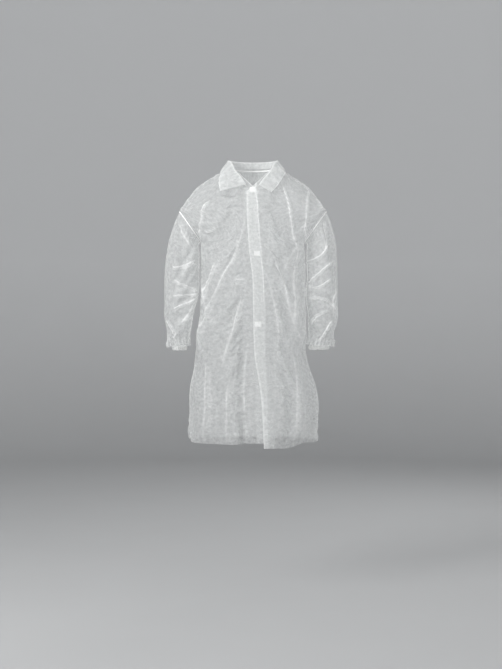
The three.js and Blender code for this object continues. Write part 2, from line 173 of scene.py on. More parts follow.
# %% [markdown]
# A panel is a grid. Each row is one level of the cloth, from one edge to the other, and its
# points are spread evenly along the cloth, so that a pattern or a fold keeps its scale.

# %% Panel grids
ROW_STEP = 3.6
PANEL_TOP = 4
FRONT_COLUMNS, BACK_COLUMNS = 81, 153
UNDERLAP = 7.0        # how far the right front lies behind the left one at the closing edge


def panel(start, end, depth, sign, hem, columns):
    """Rows x columns x 3. x runs as a sine from start to end, y is the face's depth, and each
    row is spread again by its running length."""
    rows = int((PANEL_TOP - hem) / ROW_STEP) // 2 * 2 + 1
    z = np.linspace(PANEL_TOP, hem, rows)[:, None] * np.ones((1, 500))
    t = np.linspace(0, 1, 500)[None, :]
    a, b = start(z), end(z)
    # a row that spans the body eases at both sides, a half panel only at its side seam
    ease = (1 - np.cos(np.pi * t)) / 2 if depth is back_depth else np.sin(t * np.pi / 2)
    x = a + (b - a) * ease
    y = sign * face_depth(x, z, depth)
    run = np.hypot(np.diff(x, axis=1), np.diff(y, axis=1))
    run = np.concatenate([np.zeros((rows, 1)), np.cumsum(run, axis=1)], axis=1)
    grid = np.empty((rows, columns, 3))
    lengths = np.empty((rows, columns))
    for r in range(rows):
        even = np.linspace(0, run[r, -1], columns)
        lengths[r] = even
        grid[r, :, 0] = np.interp(even, run[r], x[r])
        grid[r, :, 1] = np.interp(even, run[r], y[r])
    grid[:, :, 2] = z[:, :1]
    return grid, lengths


left_grid, left_run = panel(left_start, half_width, front_depth, -1, HEM_LEFT, FRONT_COLUMNS)
right_grid, right_run = panel(right_start, lambda z: -half_width(z), front_depth, -1,
                              HEM_RIGHT, FRONT_COLUMNS)
right_grid[:, :, 1] += UNDERLAP * smooth((right_grid[:, :, 0] + 62) / 30)
back_grid, back_run = panel(lambda z: -half_width(z), half_width, back_depth, 1,
                            HEM_BACK, BACK_COLUMNS)
print("grids", left_grid.shape, right_grid.shape, back_grid.shape)

# %% [markdown]
# A sleeve is a tube of ellipses. Each station gives the inner and the outer point of one
# ring, how far forward its middle is, and half its depth. The first ring is the armhole.

# %% Sleeve grids
SLEEVES = {
    "left": [[186.6, -263.8, 264.6, -151.8, 0, 74], [197, -286, 289, -222, 0, 74],
             [201, -340, 298, -290, -2, 73], [203, -405, 301, -375, -5, 72],
             [200, -470, 303, -450, -9, 69], [205, -530, 301, -520, -14, 64],
             [208, -585, 294, -580, -20, 56], [203, -622, 284, -622, -25, 42],
             [200, -640, 273, -640, -28, 30]],
    "right": [[186.6, -263.8, 264.6, -151.8, 0, 74], [197, -286, 294, -228, 0, 74],
              [201, -340, 308, -300, -2, 73], [203, -405, 315, -378, -5, 72],
              [206, -470, 317, -455, -9, 69], [219, -530, 316, -522, -14, 64],
              [229, -585, 306, -582, -20, 58], [234, -622, 302, -624, -26, 46],
              [237, -642, 289, -642, -30, 38]],
}
SIDES = {"left": 1, "right": -1}
SLEEVE_ROWS, SLEEVE_COLUMNS = 133, 120


def sleeve_grid(side):
    """Ring = middle + cos(angle) x half the line from inner to outer point + sin(angle) x
    depth along y; angle 0 is outside, a quarter turn is behind, half a turn is inside."""
    s = curve_through(SLEEVES[side], SLEEVE_ROWS)
    angle = np.linspace(0, TURN, SLEEVE_COLUMNS, endpoint=False)
    cos, sin = np.cos(angle)[None, :], np.sin(angle)[None, :]
    middle = (s[:, 0:2] + s[:, 2:4]) / 2
    half = (s[:, 2:4] - s[:, 0:2]) / 2
    x = middle[:, :1] + half[:, :1] * cos
    z = middle[:, 1:] + half[:, 1:] * cos
    y = s[:, 4:5] + s[:, 5:6] * sin
    return np.stack([x * SIDES[side], y, z], axis=2)


sleeve_grids = {side: sleeve_grid(side) for side in SIDES}
print("sleeve rings", sleeve_grids["left"].shape)

# %% [markdown]
# Folds make this cloth what it is. Three kinds are mixed: sharp ridges where the cloth is pulled,
# which run along given lines; soft hanging waves that grow towards the hem; and
# small crumples that come from a cloth simulation. A ridge also leaves a mark, "crease", which the
# finish uses: a whiter band, because stretched and folded nonwoven looks whiter, with a painted
# highlight along one edge, and painted shade where the fold is a trough.

# %% Ridges
def distance_to(x, z, line):
    """The distance to a polyline in the front plane, how far along it (0 to 1), and which side
    of it: +1 or -1, the sign of the cross product with the line's direction."""
    p = np.asarray(line, float)
    steps = np.linalg.norm(np.diff(p, axis=0), axis=1)
    along_start = np.concatenate([[0], np.cumsum(steps)])
    best = np.full(x.shape, 1e9)
    where, side = np.zeros(x.shape), np.ones(x.shape)
    for k, step in enumerate(steps):
        ax, az = (p[k + 1] - p[k]) / step
        dx, dz = x - p[k, 0], z - p[k, 1]
        t = np.clip(dx * ax + dz * az, 0, step)
        d = np.hypot(dx - t * ax, dz - t * az)
        nearer = d < best
        best = np.where(nearer, d, best)
        where = np.where(nearer, (along_start[k] + t) / along_start[-1], where)
        side = np.where(nearer, np.sign(dx * az - dz * ax), side)
    return best, where, side


def ridges(x, z, folds):
    """Each fold is a line, its half width at both ends, and its height. Across the line its
    form is a crest, exp of minus ((distance / width)² + 0.04) to the power 0.75, less a wider
    shallow bell, 0.4 exp of minus (distance / 2.4 widths)². It fades out at both ends."""
    lift, crease = np.zeros(x.shape), np.zeros(x.shape)
    for line, wide_start, wide_end, height in folds:
        fine = curve_through(line, 24) if len(line) > 2 else np.asarray(line, float)
        d, t, side = distance_to(x, z, fine)
        wide = wide_start + (wide_end - wide_start) * t
        fade = smooth(t / 0.18) * smooth((1 - t) / 0.18)
        crest = np.exp(-((d / wide) ** 2 + 0.04) ** 0.75 + 0.09)
        lift += height * fade * (crest - 0.4 * np.exp(-(d / (2.4 * wide)) ** 2))
        # a fold is cloth lying double: a whiter band. Along one edge runs a painted highlight,
        # weaker on the other side, which wanders a little and comes and goes; a fold of negative
        # height, a trough, makes the mark negative, as painted shade
        band = 0.5 * smooth(1.6 - 1.3 * d / wide)
        wander = 0.55 * wide + 0.12 * wide * np.sin(9 * t + height)
        line_of_light = 1.7 * np.exp(-((d - wander) / (0.1 * wide + 1.3)) ** 2)
        line_of_light *= np.where(side > 0, 1, 0.3) * (0.8 + 0.2 * np.sin(7 * t + wide))
        crease += np.sign(height) * fade * (band + line_of_light) * np.minimum(1, 8 / wide)
    return lift, crease


LEFT_FOLDS = [
    ([[68, -300], [92, -355], [106, -412], [122, -468], [144, -536], [164, -587], [182, -650]],
     7, 17, 8),
    ([[155, -262], [150, -360], [143, -468], [148, -560]], 7, 10, 6),
    ([[100, -30], [117, -74], [132, -126], [140, -184], [146, -252], [155, -310]], 5, 7, 4.5),
    ([[204, -68], [197, -132], [188, -205], [184, -262]], 7, 8, 5),
    ([[30, -345], [62, -420], [84, -520], [96, -640]], 8, 16, 4),
    ([[60, -700], [92, -780], [104, -880], [96, -1010]], 14, 24, 6),
    ([[150, -640], [166, -760], [172, -880], [160, -1010]], 12, 26, 9),
    ([[22, -760], [44, -850], [52, -1010]], 10, 20, 4),
]
RIGHT_FOLDS = [
    ([[-16, -118], [-27, -207], [-41, -263], [-60, -323], [-94, -378], [-122, -443],
      [-148, -500], [-176, -580], [-190, -650]], 5, 17, 9),
    ([[-122, -325], [-137, -371], [-166, -436], [-178, -510]], 6, 12, 6),
    ([[-148, -112], [-176, -135], [-183, -190], [-184, -262]], 6, 7, 6),
    ([[-174, -228], [-150, -221], [-128, -210]], 5, 5, 3.5),
    ([[-70, -403], [-40, -404], [-10, -402]], 4, 4, 2.6),
    ([[-62, -420], [-40, -421], [-18, -418]], 4, 4, 2.2),
    ([[-30, -440], [-52, -540], [-84, -650], [-110, -740]], 8, 18, 5),
    ([[-70, -720], [-86, -820], [-84, -1000]], 14, 24, 6),
    ([[-150, -680], [-168, -790], [-170, -1000]], 12, 26, 9),
    ([[-10, -600], [-22, -760], [-14, -1000]], 10, 20, 4),
    # a trough below the collar's leaf: its negative height also makes its crease mark negative, a
    # painted shadow of the collar
    ([[-120, -92], [-70, -99], [-26, -96]], 6, 6, -4),
]
BACK_FOLDS = [
    ([[-60, -40], [-48, -180], [-60, -360]], 8, 14, 5),
    ([[58, -40], [66, -190], [52, -380]], 8, 14, 5),
    ([[176, -240], [120, -330], [96, -460]], 9, 14, 7),
    ([[-178, -240], [-126, -340], [-92, -480]], 9, 14, 7),
    ([[-178, -420], [-140, -560], [-120, -760]], 10, 22, 7),
    ([[178, -420], [146, -560], [128, -760]], 10, 22, 7),
    ([[0, -520], [8, -700], [-4, -986]], 12, 26, 7),
    ([[-80, -560], [-92, -740], [-78, -986]], 12, 26, 7),
    ([[84, -560], [90, -760], [100, -986]], 12, 26, 7),
    ([[-170, -760], [-178, -880], [-164, -986]], 12, 26, 8),
    ([[172, -760], [176, -880], [168, -986]], 12, 26, 8),
]
print("ridges", len(LEFT_FOLDS), len(RIGHT_FOLDS), len(BACK_FOLDS))

# %% [markdown]
# A sleeve has its own ridges: pulls from the armhole, a star of creases at the inner elbow and
# short ones above the cuff. Those behind the arm are given once and mirrored for the right.

# %% Ridges of the sleeves, in front and behind
SLEEVE_FOLDS = {
    "left": [
        ([[268, -272], [240, -318], [198, -352]], 6, 9, 7),
        ([[290, -330], [262, -352], [224, -398], [200, -452]], 5, 8, 6.5),
        ([[278, -392], [246, -424], [208, -440]], 5, 6, 3.5),
        ([[204, -474], [238, -470], [270, -482], [300, -516]], 6, 7, 5),
        ([[210, -572], [232, -534], [270, -512]], 5, 6, 3.5),
        ([[250, -180], [262, -240], [256, -300]], 6, 9, 5),
        ([[296, -430], [284, -480], [288, -540]], 6, 7, 4),
        ([[286, -545], [256, -590], [232, -632]], 6, 6, 5),
    ],
    "right": [
        ([[-263, -187], [-240, -240], [-211, -300]], 9, 9, 6),
        ([[-198, -466], [-236, -462], [-282, -464]], 5, 8, 7),
        ([[-198, -470], [-236, -490], [-282, -514]], 5, 8, 6),
        ([[-202, -462], [-214, -452], [-232, -446]], 4, 5, 5),
        ([[-204, -474], [-232, -520], [-256, -566]], 5, 8, 5),
        ([[-204, -455], [-244, -424], [-286, -404]], 5, 8, 5),
        ([[-208, -330], [-244, -356], [-292, -360]], 7, 9, 4),
        ([[-304, -540], [-282, -590], [-262, -632]], 6, 6, 5),
    ],
}
SLEEVE_BACK_FOLDS = [
    ([[258, -200], [250, -300], [256, -400]], 8, 10, 5),
    ([[206, -440], [250, -430], [296, -440]], 7, 9, 6),
    ([[206, -452], [250, -480], [296, -500]], 7, 9, 6),
    ([[212, -556], [250, -545], [292, -560]], 6, 8, 5),
    ([[206, -340], [250, -352], [296, -330]], 7, 9, 4),
]
print("sleeve ridges", len(SLEEVE_FOLDS["left"]), len(SLEEVE_FOLDS["right"]), len(SLEEVE_BACK_FOLDS))

# %% [markdown]
# Below the hips nothing holds the cloth, so it hangs in soft waves. Ridges and waves are both
# heights, so they are pushed out along the cloth's own normals.

# %% Hanging waves and normals
def hanging(run, width, z, top, bottom, count, height, phase):
    """Soft waves across the cloth's own width, no height at the top and full at the bottom:
    height x smoothstep x sine of the running length, with a second slower sine beside it."""
    grow = smooth((top - z) / (top - bottom))
    a = TURN * count * run / width
    return height * grow * (np.sin(a + phase) + 0.45 * np.sin(0.53 * a + 2.1 * phase + z / 160))


def normals(grid, closed=False):
    """The cross product of the steps down and across the grid, made one long."""
    down = np.gradient(grid, axis=0)
    if closed:
        across = np.roll(grid, -1, axis=1) - np.roll(grid, 1, axis=1)
    else:
        across = np.gradient(grid, axis=1)
    n = np.cross(down, across)
    return n / np.maximum(np.linalg.norm(n, axis=2, keepdims=True), 1e-9)


print("the back's normals", normals(back_grid).shape)

# %% [markdown]
# The crumples come from Blender's cloth simulation. A coarser copy of the panel, with a few
# per cent of spare cloth (a negative shrink) and pinned seams, is let go for a few
# frames. The cloth has nowhere to put the spare length, so it buckles. Only the movement is
# kept: it is capped, laid over the fine grid, and the simulated copy is deleted.

# %% Cloth simulation
CRUMPLE_STEP = 2      # every second point of the grid is simulated
SPARE = 0.09          # spare length, as a share
BENDING = 0.12
FRAMES = 20
CAP = 11.0            # no point moves further, in mm


def finer(values, axis, closed=False):
    """Twice as many points: each new one is (9(b + c) - (a + d)) / 16 of its four neighbours."""
    v = np.moveaxis(values, axis, 0)
    if closed:
        a, b, c, d = np.roll(v, 1, 0), v, np.roll(v, -1, 0), np.roll(v, -2, 0)
        out = np.empty((2 * len(v),) + v.shape[1:])
        out[::2], out[1::2] = v, (9 * (b + c) - (a + d)) / 16
    else:
        w = np.concatenate([v[:1], v, v[-1:]])
        out = np.empty((2 * len(v) - 1,) + v.shape[1:])
        out[::2], out[1::2] = v, (9 * (w[1:-2] + w[2:-1]) - (w[:-3] + w[3:])) / 16
    return np.moveaxis(out, 0, axis)


def quads(rows, columns, closed=False):
    """Four corners for each cell of the grid; a closed grid joins its last column to its first."""
    r = np.arange(rows - 1)[:, None]
    c = np.arange(columns if closed else columns - 1)[None, :]
    here, right = r * columns + c, r * columns + (c + 1) % columns
    return np.stack([here, here + columns, right + columns, right], axis=2).reshape(-1, 4)


def crumple(name, grid, free, closed=False):
    """The movement, in mm, of a cloth with spare length; free is 0 where pinned, 1 where loose.
    It is capped softly: cap x hyperbolic tangent of (movement / cap)."""
    coarse = grid[::CRUMPLE_STEP, ::CRUMPLE_STEP]
    rows, columns = coarse.shape[:2]
    mesh = bpy.data.meshes.new(name + "_loose")
    faces = quads(rows, columns, closed)
    mesh.from_pydata((coarse.reshape(-1, 3) * MM).tolist(), [], faces.tolist())
    loose = bpy.data.objects.new(name + "_loose", mesh)
    scene.collection.objects.link(loose)
    group = loose.vertex_groups.new(name="pin")
    held = np.round(1 - free[::CRUMPLE_STEP, ::CRUMPLE_STEP].reshape(-1), 1)
    for weight in np.unique(held):
        group.add(np.flatnonzero(held == weight).tolist(), float(weight), "REPLACE")
    cloth = loose.modifiers.new("cloth", "CLOTH")
    cloth.settings.quality = 5
    cloth.settings.mass = 0.12
    cloth.settings.tension_stiffness = cloth.settings.compression_stiffness = 12
    cloth.settings.shear_stiffness = 4
    cloth.settings.bending_stiffness = BENDING
    cloth.settings.air_damping = 2
    cloth.settings.shrink_min = -SPARE
    cloth.settings.vertex_group_mass = "pin"
    cloth.settings.pin_stiffness = 6
    cloth.collision_settings.use_collision = False
    for step in range(1, FRAMES + 1):
        scene.frame_set(step)
    moved = loose.evaluated_get(bpy.context.evaluated_depsgraph_get()).to_mesh()
    place = np.empty(rows * columns * 3)
    moved.vertices.foreach_get("co", place)
    move = place.reshape(rows, columns, 3) / MM - coarse
    scene.frame_set(1)
    bpy.data.objects.remove(loose)
    far = np.linalg.norm(move, axis=2, keepdims=True)
    move *= CAP * np.tanh(far / CAP) / np.maximum(far, 1e-6)
    print(name, "crumpled by up to", round(float(far.max()), 1), "mm")
    return finer(finer(move, 0), 1, closed) * free[:, :, None]


# %% [markdown]
# A grid becomes a mesh: its points, four-cornered faces, a map in metres of the flat cloth, and
# the crease mark. The rows run down and the columns across, so the faces point outwards.

# %% From grid to mesh
def cloth_piece(name, grid, crease=None, closed=False, flip=False, marks=None):
    """Points in mm go in as metres. The map u is the length across and v the length down."""
    rows, columns = grid.shape[:2]
    faces = quads(rows, columns, closed)
    if flip:
        faces = faces[:, ::-1]
    mesh = bpy.data.meshes.new(name)
    mesh.from_pydata((grid.reshape(-1, 3) * MM).tolist(), [], faces.tolist())
    step_across = np.linalg.norm(np.diff(grid, axis=1), axis=2).mean() * MM
    step_down = np.linalg.norm(np.diff(grid, axis=0), axis=2).mean() * MM
    corners = faces.reshape(-1)
    u = (corners % columns) * step_across
    v = (corners // columns) * step_down
    if closed:
        first = corners.reshape(-1, 4)
        wraps = (first % columns).max(axis=1) - (first % columns).min(axis=1) > 1
        u = np.where(np.repeat(wraps, 4) & (u == 0), columns * step_across, u)
    layer = mesh.uv_layers.new(name="cloth")
    layer.data.foreach_set("uv", np.stack([u, v], axis=1).reshape(-1).astype(np.float32))
    for key, value in {"crease": crease, **(marks or {})}.items():
        mark = mesh.attributes.new(key, "FLOAT", "POINT")
        filled = np.zeros(rows * columns) if value is None else value.reshape(-1)
        mark.data.foreach_set("value", filled.astype(np.float32))
    mesh.polygons.foreach_set("use_smooth", [True] * len(faces))
    mesh.update()
    piece = bpy.data.objects.new(name, mesh)
    scene.collection.objects.link(piece)
    size = np.linalg.norm(np.diff(grid, axis=0)[:, :-1], axis=2) * \
        np.linalg.norm(np.diff(grid, axis=1)[:-1], axis=2)
    print(name, len(faces), "faces, about", round(float(size.sum()) * MM * MM, 3), "square metres")
    return piece


# %% [markdown]
# The finish. Nonwoven is a felt of fine white fibres, point-bonded in a lattice of tiny dots.
# It scatters light, lets some through and shows what is behind. So the shader mixes a rough
# Principled surface and a Translucent one, and then a Transparent one by a cover that is
# cloudy with the fibres, and higher at the dots, the creases and the sewn-down places.

# %% Node helpers
def new_material(name):
    """An empty material and its node tree."""
    material = bpy.data.materials.new(name)
    material.use_nodes = True
    material.node_tree.nodes.clear()
    return material, material.node_tree


def node(tree, kind, links=None, **values):
    """A node, with its own settings, and values or links for its inputs by name or number."""
    made = tree.nodes.new(kind)
    for key, value in values.items():
        setattr(made, key, value)
    for key, value in (links or {}).items():
        if isinstance(value, bpy.types.NodeSocket):
            tree.links.new(value, made.inputs[key])
        else:
            made.inputs[key].default_value = value
    return made


def maths(tree, operation, a, b=0.0, clamp=False):
    """One sum of two values or sockets, held between 0 and 1 if clamped."""
    made = node(tree, "ShaderNodeMath", {0: a, 1: b}, operation=operation, use_clamp=clamp)
    return made.outputs[0]


def noise(tree, place, scale, **more):
    """A noise pattern's value; more are its other inputs."""
    inputs = {"Vector": place, "Scale": scale, **more}
    return node(tree, "ShaderNodeTexNoise", inputs).outputs[0]


def mark(tree, name):
    """The value of one of the cloth's own marks, crease or sewn."""
    return node(tree, "ShaderNodeAttribute", attribute_name=name).outputs["Fac"]


def ramp(tree, value, low, high, out_low=0.0, out_high=1.0):
    """Straight-line change of a value's range, held at both ends."""
    return node(tree, "ShaderNodeMapRange", {"Value": value, "From Min": low, "From Max": high,
                                             "To Min": out_low, "To Max": out_high}).outputs[0]


# %% Nonwoven
DOT_PITCH = 1.6       # mm from one bond dot to the next


def nonwoven(name, cover_low, cover_high, colour, shade):
    """Cover = cloudy fibres between low and high, plus dots, creases and sewn places."""
    material, tree = new_material(name)
    cloth = node(tree, "ShaderNodeUVMap", uv_map="cloth").outputs[0]
    cloud = noise(tree, cloth, 70.0, Detail=6.0, Roughness=0.62)
    stretch = node(tree, "ShaderNodeMapping", {"Vector": cloth, "Scale": (1.0, 0.12, 1.0)})
    fibres = noise(tree, stretch.outputs[0], 900.0, Detail=3.0)
    parts = node(tree, "ShaderNodeSeparateXYZ", {0: cloth})
    pitch = TURN / (DOT_PITCH * MM)
    dots = maths(tree, "MULTIPLY",
                 maths(tree, "SINE", maths(tree, "MULTIPLY", parts.outputs[0], pitch)),
                 maths(tree, "SINE", maths(tree, "MULTIPLY", parts.outputs[1], pitch)))
    dots = ramp(tree, dots, 0.45, 0.8)
    crease, sewn = mark(tree, "crease"), mark(tree, "sewn")
    # crinkles: thin bright lines where a twisted noise passes its middle value, in patches
    veins = noise(tree, cloth, 26.0, Detail=4.0, Distortion=1.4)
    patches = noise(tree, cloth, 9.0, Detail=2.0)
    off_middle = maths(tree, "ABSOLUTE", maths(tree, "SUBTRACT", veins, 0.5))
    crinkle = maths(tree, "MULTIPLY", ramp(tree, off_middle, 0.0, 0.035, 1.0, 0.0),
                    ramp(tree, patches, 0.38, 0.62))
    # white lifts the cover and the tint. Its marks are partly real whitening (double cloth,
    # stretched creases, the closure squares behind) and partly painted light: painted highlights
    # along fold and closing edges and on pleat and ripple crests, painted light over the fronts'
    # overlap, and painted shade where a trough's crease mark is negative
    white = maths(tree, "ADD", maths(tree, "MULTIPLY", crinkle, 0.30),
                  maths(tree, "ADD", maths(tree, "MULTIPLY", crease, 0.55), sewn))
    cover = ramp(tree, cloud, 0.32, 0.68, cover_low, cover_high)
    cover = maths(tree, "ADD", cover, maths(tree, "MULTIPLY", dots, 0.05))
    cover = maths(tree, "ADD", cover, maths(tree, "MULTIPLY", white, 0.42), clamp=True)
    tint = ramp(tree, cloud, 0.30, 0.72, 0.0, 0.45)
    tint = maths(tree, "ADD", tint, maths(tree, "MULTIPLY", white, 0.9), clamp=True)
    mixed = node(tree, "ShaderNodeMix", {0: tint}, data_type="RGBA")
    # a Mix node keeps one set of sockets for each kind of data, so colours go in by number
    mixed.inputs[6].default_value = (*shade, 1)
    mixed.inputs[7].default_value = (*colour, 1)
    paint = mixed.outputs[2]
    relief = maths(tree, "ADD", maths(tree, "MULTIPLY", fibres, 0.7),
                   maths(tree, "MULTIPLY", cloud, 0.8))
    relief = maths(tree, "ADD", relief, crinkle)
    relief = maths(tree, "SUBTRACT", relief, maths(tree, "MULTIPLY", dots, 0.5))
    bump = node(tree, "ShaderNodeBump",
                {"Strength": 0.5, "Distance": 0.0006, "Height": relief}).outputs[0]
    rough = ramp(tree, fibres, 0.3, 0.7, 0.62, 0.82)
    skin = node(tree, "ShaderNodeBsdfPrincipled", {
        "Base Color": paint, "Roughness": rough, "Normal": bump, "Sheen Weight": 0.25,
        "Sheen Roughness": 0.4, "Specular IOR Level": 0.35}).outputs[0]
    glow = node(tree, "ShaderNodeBsdfTranslucent", {"Color": paint, "Normal": bump}).outputs[0]
    cloth_light = node(tree, "ShaderNodeMixShader", {0: 0.42, 1: skin, 2: glow}).outputs[0]
    clear = node(tree, "ShaderNodeBsdfTransparent").outputs[0]
    seen = node(tree, "ShaderNodeMixShader", {0: cover, 1: clear, 2: cloth_light}).outputs[0]
    node(tree, "ShaderNodeOutputMaterial", {"Surface": seen})
    return material


CLOTH = nonwoven("nonwoven_cloth", 0.28, 0.50, (0.97, 0.975, 0.97), (0.74, 0.755, 0.75))
COLLAR_CLOTH = nonwoven("nonwoven_collar", 0.56, 0.74, (0.96, 0.965, 0.96), (0.70, 0.715, 0.71))
CUFF_CLOTH = nonwoven("nonwoven_cuff", 0.80, 0.92, (0.97, 0.97, 0.965), (0.88, 0.89, 0.885))

# %% Thread, closure tape and elastic
def solid_white(name, colour, shade, scale, roughness, depth):
    """A plain fibrous white: noise moves the tint, the roughness and a small bump."""
    material, tree = new_material(name)
    place = node(tree, "ShaderNodeTexCoord").outputs["Object"]
    grain = noise(tree, place, scale, Detail=4.0)
    cells = node(tree, "ShaderNodeTexVoronoi", {"Vector": place, "Scale": scale}).outputs[0]
    mixed = node(tree, "ShaderNodeMix", {0: grain}, data_type="RGBA")
    mixed.inputs[6].default_value = (*shade, 1)
    mixed.inputs[7].default_value = (*colour, 1)
    height = maths(tree, "ADD", grain, cells)
    bump = node(tree, "ShaderNodeBump",
                {"Strength": 0.6, "Distance": depth, "Height": height}).outputs[0]
    rough = ramp(tree, grain, 0.3, 0.7, roughness - 0.1, roughness + 0.08)
    skin = node(tree, "ShaderNodeBsdfPrincipled", {
        "Base Color": mixed.outputs[2], "Roughness": rough, "Normal": bump}).outputs[0]
    node(tree, "ShaderNodeOutputMaterial", {"Surface": skin})
    return material


THREAD = solid_white("seam_thread", (0.93, 0.93, 0.92), (0.80, 0.81, 0.80), 1600, 0.7, 0.0003)
TAPE = solid_white("closure_tape", (0.95, 0.95, 0.94), (0.86, 0.87, 0.87), 1300, 0.62, 0.0004)
ELASTIC = solid_white("elastic", (0.86, 0.86, 0.84), (0.70, 0.70, 0.69), 900, 0.55, 0.0003)
print("materials", [m.name for m in (CLOTH, COLLAR_CLOTH, CUFF_CLOTH, THREAD, TAPE, ELASTIC)])

# %% [markdown]
# The two fronts open about a line on each chest, and a sleeve turns at its armhole. Here a piece
# sewn to a front or a sleeve only has its placement baked into its points; nothing bends or turns
# with it.


def bend_with_front(piece):
    """Bakes the piece's placement into its points; it isn't bent."""
    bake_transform(piece)


def bend_with_arm(piece):
    """Bakes the piece's placement into its points; it isn't turned with the arm."""
    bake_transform(piece)


def dress(piece, material, slot, *nodes):
    """Gives a piece its finish and hides the CAD nodes it stands for; slot is not used."""
    piece.data.materials.append(material)
    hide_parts(*nodes)
    return piece


# %% [markdown]
# The back panel is one sheet from side seam to side seam, with its shoulders sewn to the
# fronts. It is the plainest piece: hanging waves, ridges from the shoulders and crumples.

# %% Back panel
def edge_free(rows, columns, top, bottom, first, last):
    """How free the cloth is: 0 on each sewn edge, rising to 1 over so many cells from it."""
    r, c = np.arange(rows)[:, None], np.arange(columns)[None, :]
    free = smooth(r / top) * np.ones((rows, columns))
    if bottom:
        free = free * smooth((rows - 1 - r) / bottom)
    return free * smooth(c / first) * smooth((columns - 1 - c) / last)


def folded(grid, free, folds, move, wave):
    """The grid pushed along its own normals by ridges and waves, after the crumple's move."""
    n = normals(grid)
    n *= np.sign(n[:, :, 1].mean()) * np.sign(grid[:, :, 1].mean())
    lift, crease = ridges(grid[:, :, 0], grid[:, :, 2], folds)
    return grid + move + n * ((lift + wave) * free)[:, :, None], crease * np.maximum(free, 0.2)


EASE_ACROSS = 1.02


def fuller_side(grid):
    """Cloth stands a little proud of the CAD's sides: 2% wider, 7 mm more beside the arms, and
    on the right 16 mm more round z = -665 and 9 mm less round z = -870, as two bells."""
    x, z = grid[:, :, 0], grid[:, :, 2]
    ratio = x / half_width(z)
    near_side = smooth((np.abs(ratio) - 0.3) / 0.6) * np.sign(ratio)
    beside_arm = 7 * smooth((-262 - z) / 50) * smooth((z + 660) / 60)
    bell = 16 * np.exp(-((z + 665) / 75) ** 2) - 9 * np.exp(-((z + 870) / 65) ** 2)
    bell = bell * (ratio < 0)
    out = grid.copy()
    out[:, :, 0] = x * EASE_ACROSS + (beside_arm + bell) * near_side
    return out


rows, columns = back_grid.shape[:2]
back_free = edge_free(rows, columns, 8, 0, 9, 9)
back_move = crumple("back_panel", back_grid, back_free)
back_wave = hanging(back_run, back_run[:, -1:], back_grid[:, :, 2], -450, HEM_BACK, 5, 5.5, 0.6)
back_final, back_crease = folded(back_grid, back_free, BACK_FOLDS, back_move, back_wave)
back_final = fuller_side(back_final)
back = dress(cloth_piece("back_panel_cloth", back_final, back_crease, flip=True), CLOTH,
             "nonwoven", "back_panel")
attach(back, "coat_body")

# %% [markdown]
# Each front is one sheet from the V neck and the closing edge to the side seam. The closing
# edges overlap, so their strip is kept flat and the two sheets can't cross there. The left
# front's hem hangs a little lower than the rest and rises to the side seam.

# %% Fronts
CLOSURES = [(-1, -81), (14, -315), (18, -567)]
SQUARE_WIDE, SQUARE_HIGH = 22, 19
# OVERLAP_WHITE whitens where the fronts overlap: double cloth, and painted light that lifts the
# shade between the layers
OVERLAP_WHITE = 0.26
SIDE_RISE = 21        # how much the left hem rises to the side seam
# EDGE_WHITE is how strong each free edge's whiter line is: the hem's double cloth and a painted
# highlight along it
EDGE_WHITE = {"left": 0.9, "right": 1.5}
WAVE_START = {"left": 0.4, "right": 1.9}


def edge_line(run):
    """The free edge: a whiter line in the first 5 mm of each row, partly the narrow hem's double
    cloth and partly a painted highlight along the edge.
    """
    return np.exp(-((run - 1.5) / 2.2) ** 2)


def strip_free(run):
    """The closing strip is held for 45 mm, then let go over the next 45 mm."""
    return smooth((run - 45) / 45)


def squares_and_painted_light(grid):
    """High where a closure square is sewn behind the cloth, with edges 2 mm wide, and part of the
    way where the left front lies over the right one: partly because double cloth looks whiter, and
    partly painted light that lifts the shade falling between the layers. Along the right front's
    edge behind it runs a thin painted highlight, which is gone below z = -700."""
    x, z = grid[:, :, 0], grid[:, :, 2]
    sewn = np.zeros(x.shape)
    for cx, cz in CLOSURES:
        inside = np.minimum(SQUARE_WIDE / 2 - np.abs(x - cx), SQUARE_HIGH / 2 - np.abs(z - cz))
        sewn = np.maximum(sewn, 1.3 * smooth(inside / 2 + 0.5))
    double_cloth_and_painted_light = OVERLAP_WHITE * smooth((right_edge(z) - x) / 2)
    under_edge_highlight = 0.8 * np.exp(-((x - right_edge(z)) / 2.2) ** 2) * smooth((z + 700) / 300)
    return np.maximum(sewn, np.maximum(double_cloth_and_painted_light, under_edge_highlight))


def make_front(side, grid, run, folds):
    """The folded front, its crease marks with the free edge's whiter line, and the left front's
    marks over its closure squares and its overlap, which hold painted light as well.
    """
    rows, columns = grid.shape[:2]
    free = edge_free(rows, columns, 6, 0, 1e-3, 9)
    loose = free * strip_free(run)
    move = crumple(side + "_front", grid, loose)
    phase = WAVE_START[side]
    wave = hanging(run, run[:, -1:], grid[:, :, 2], -560, -1000, 2.6, 5.0, phase)
    wave = wave * (0.8 + 0.3 * np.sin(run / 37 + 2 * phase))
    final, crease = folded(grid, free * np.maximum(strip_free(run), 0.25), folds, move, wave)
    crease = crease + EDGE_WHITE[side] * edge_line(run)
    marks = {"sewn": squares_and_painted_light(grid) if side == "left" else np.zeros(run.shape)}
    return final, crease, marks


left_final, left_crease, left_marks = make_front("left", left_grid, left_run, LEFT_FOLDS)
rise = smooth((left_final[:, :, 0] - 100) / 85) * smooth((-850 - left_final[:, :, 2]) / 150)
lower_z = left_final[:, :, 2].copy()
left_final[:, :, 2] += SIDE_RISE * rise
# higher up the body is wider, so the raised side goes out with it and stays on its seam
left_final[:, :, 0] *= 1 + (half_width(left_final[:, :, 2]) / half_width(lower_z) - 1) * rise
left_final = fuller_side(left_final)
right_final, right_crease, right_marks = make_front("right", right_grid, right_run, RIGHT_FOLDS)
right_final = fuller_side(right_final)

